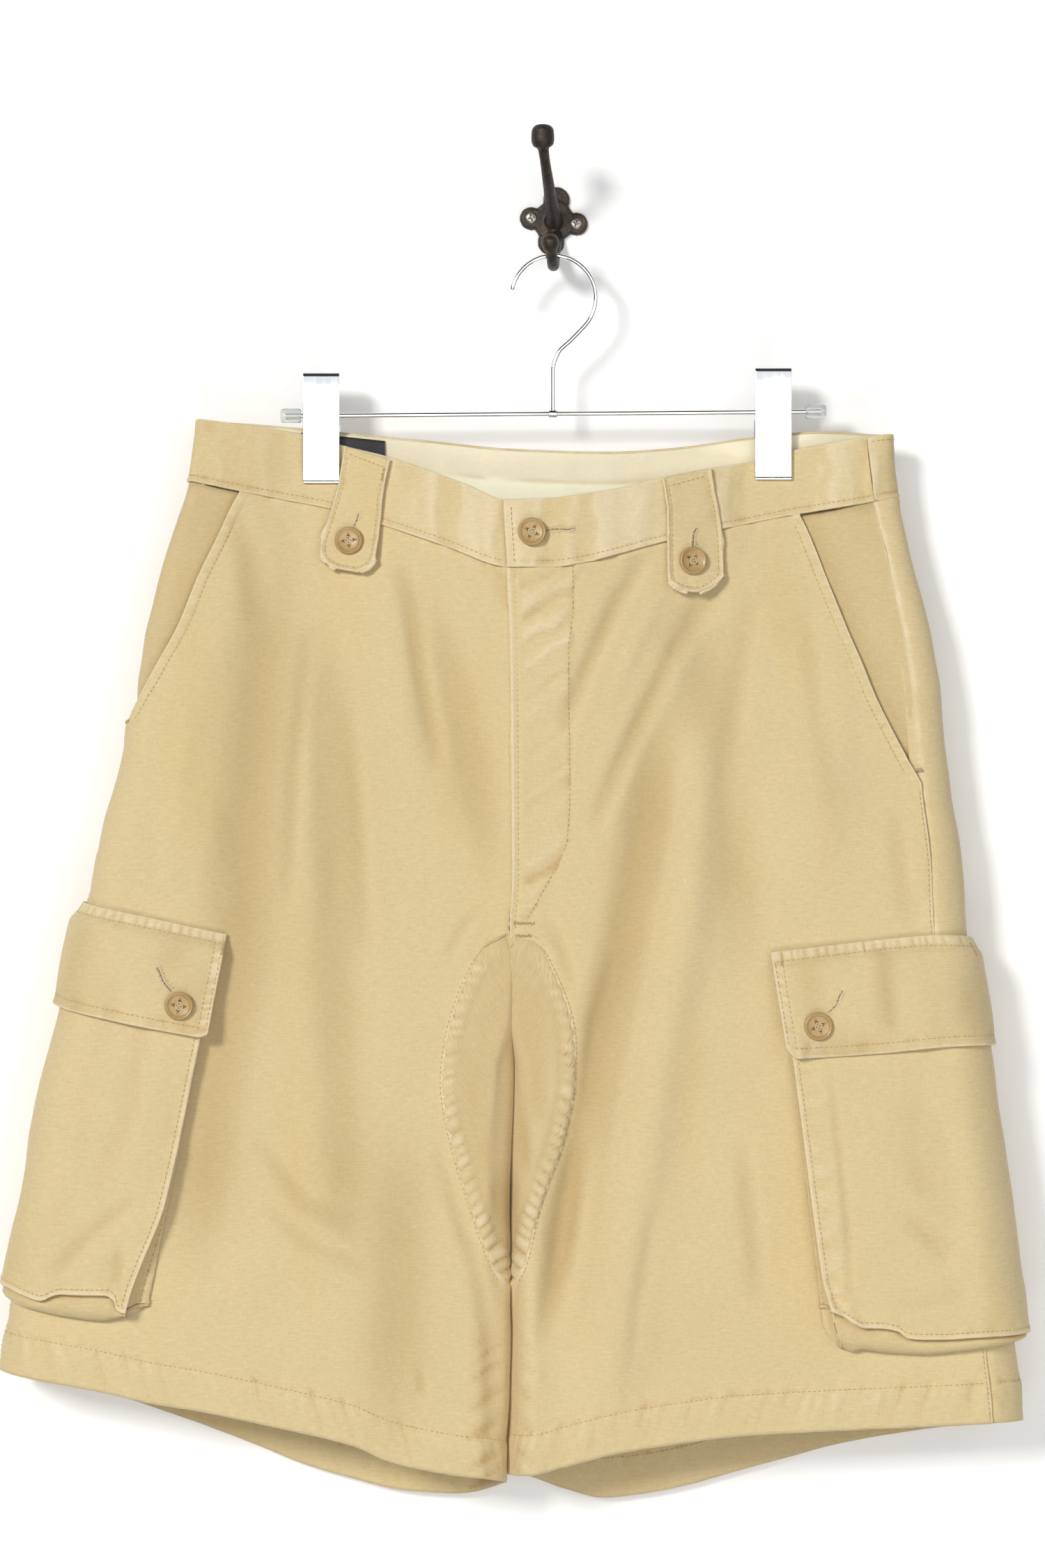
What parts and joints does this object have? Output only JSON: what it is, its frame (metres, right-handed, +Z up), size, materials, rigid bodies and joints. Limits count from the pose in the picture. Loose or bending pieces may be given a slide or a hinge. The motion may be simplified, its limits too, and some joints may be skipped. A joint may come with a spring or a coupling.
{
  "type": "cargo shorts on a clip hanger and wall hook",
  "caption": "Knee-length cargo shorts with buttoned flaps and waist tabs, held flat by a trouser clip hanger that hangs from a cast wall hook.",
  "frame": {"origin": "middle of the wall hook plate's back face, on the wall", "axes": "+Z up; +Y into the wall, so the shorts' front faces -Y; +X to the wearer's left"},
  "size_m": [0.6245, 0.0777, 0.833],
  "materials": {
    "cloth": "plain woven cotton, sun-faded straw yellow",
    "facing": "smooth pale cream lining",
    "button": "tan horn-coloured",
    "label": "plain black woven",
    "chrome": "bright plated",
    "clear_plastic": "soft clear",
    "iron": "dark bronze-brown"
  },
  "bodies": {
    "root": {"front_right": "cloth", "front_left": "cloth", "back_right": "cloth", "back_left": "cloth", "crotch_gusset": "cloth", "waistband_right": "cloth", "waistband_left": "cloth", "waistband_back": "cloth", "waistband_facing": "facing", "fly_underlap": "cloth", "pocket_facing_right": "cloth", "pocket_facing_left": "cloth", "cargo_pocket_right": "cloth", "cargo_pocket_left": "cloth", "cargo_flap_right": "cloth", "cargo_flap_left": "cloth", "waist_tab_right": "cloth", "waist_tab_left": "cloth", "label": "label", "button_waist": "button", "button_tab_right": "button", "button_tab_left": "button", "button_flap_right": "button", "button_flap_left": "button", "hanger_frame": "chrome", "clip_right": "chrome", "clip_left": "chrome", "end_cap_right": "clear_plastic", "end_cap_left": "clear_plastic", "wall_hook": "iron"}
  },
  "joints": []
}
